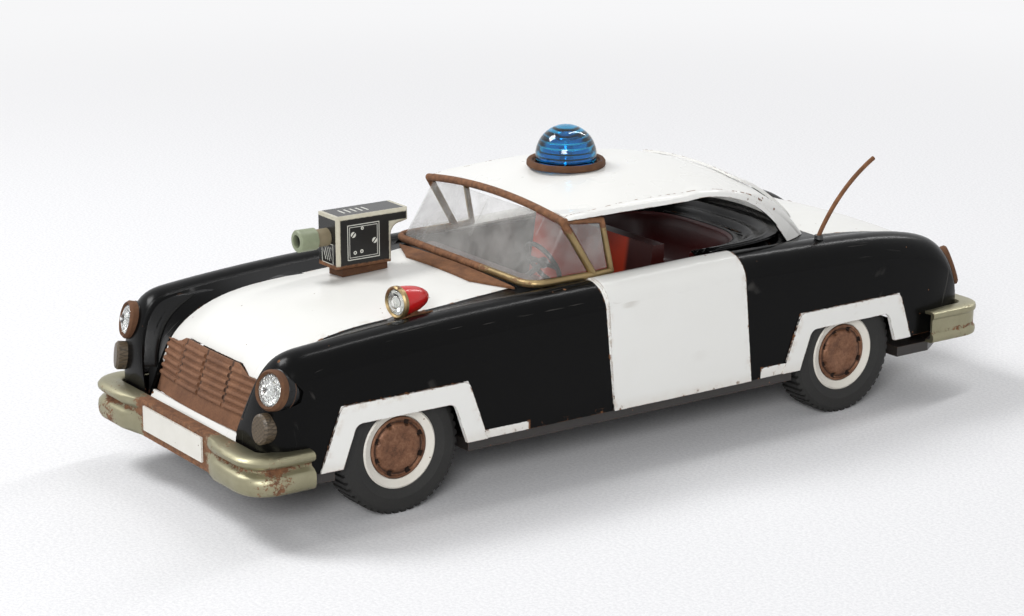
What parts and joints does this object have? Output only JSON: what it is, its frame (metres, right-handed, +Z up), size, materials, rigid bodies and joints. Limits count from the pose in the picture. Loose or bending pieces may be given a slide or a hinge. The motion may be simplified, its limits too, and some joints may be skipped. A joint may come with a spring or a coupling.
{
  "type": "tin toy patrol car",
  "caption": "Tin toy patrol car with wrap-round windscreen, roof beacon, bonnet camera box, spotlight, aerial and free-rolling rubber-tyred wheels.",
  "frame": {"origin": "on the ground, midway along the car over its bumpers and on its centre line", "axes": "+Z up, the car faces -Y, its left side is +X"},
  "size_m": [0.109, 0.302, 0.1023],
  "materials": {
    "body_paint": "gloss black enamel with white panels, scratched and rust-flecked",
    "pan_paint": "dull black paint",
    "roof_paint": "white enamel with rust-flecked edges",
    "plate_paint": "white paint, blank",
    "worn_plating": "tarnished plating with rust",
    "rusty_steel": "brown rust, matte",
    "celluloid": "clear sheet, greyed and scratched",
    "clear_lens": "clear moulded plastic",
    "red_lens": "red moulded plastic",
    "blue_lens": "blue moulded plastic",
    "cabin_paint": "black printed tinplate",
    "seat_paint": "dark red printed tinplate",
    "black_plastic": "black plastic",
    "red_plastic": "red plastic",
    "camera_paint": "black printed tinplate with pale edges",
    "barrel_plastic": "pale green plastic",
    "drive_steel": "dull steel",
    "axle_steel": "bare steel wire",
    "tyre_rubber": "dark grey rubber",
    "disc_paint": "off-white paint"
  },
  "bodies": {
    "car": {"body_shell": "body_paint", "base_pan": "pan_paint", "roof": "roof_paint", "windscreen_frame": "worn_plating", "windscreen_pane": "celluloid", "vent_panes": "celluloid", "rear_window_frame": "worn_plating", "rear_window_pane": "celluloid", "grille": "rusty_steel", "cowl_plate": "rusty_steel", "front_bumper": "worn_plating", "rear_bumper": "worn_plating", "number_plate": "plate_paint", "headlamp_rims": "rusty_steel", "headlamp_lenses": "clear_lens", "parking_lamps": "rusty_steel", "tail_lamp_rims": "rusty_steel", "tail_lamp_lenses": "red_lens", "cabin_tub": "cabin_paint", "front_seat": "seat_paint", "rear_seat": "seat_paint", "dashboard": "seat_paint", "steering_wheel": "black_plastic", "beacon_ring": "rusty_steel", "beacon_dome": "blue_lens", "beacon_bulb": "clear_lens", "camera_case": "camera_paint", "camera_barrel": "barrel_plastic", "camera_foot": "rusty_steel", "spot_housing": "red_plastic", "spot_rim": "worn_plating", "spot_lens": "clear_lens", "spot_bracket": "rusty_steel", "aerial": "rusty_steel", "aerial_grommet": "black_plastic", "drive_unit": "drive_steel"},
    "front_wheelset": {"front_axle": "axle_steel", "front_left_tyre": "tyre_rubber", "front_left_disc": "disc_paint", "front_left_hub_cap": "rusty_steel", "front_right_tyre": "tyre_rubber", "front_right_disc": "disc_paint", "front_right_hub_cap": "rusty_steel"},
    "rear_wheelset": {"rear_axle": "axle_steel", "rear_left_tyre": "tyre_rubber", "rear_left_disc": "disc_paint", "rear_left_hub_cap": "rusty_steel", "rear_right_tyre": "tyre_rubber", "rear_right_disc": "disc_paint", "rear_right_hub_cap": "rusty_steel"}
  },
  "joints": [
    {"name": "front_axle_turn", "type": "hinge", "parent": "car", "child": "front_wheelset", "pos_m": [0, -0.0953, 0.021], "axis": [1, 0, 0], "continuous": true},
    {"name": "rear_axle_turn", "type": "hinge", "parent": "car", "child": "rear_wheelset", "pos_m": [0, 0.0836, 0.021], "axis": [1, 0, 0], "continuous": true}
  ]
}
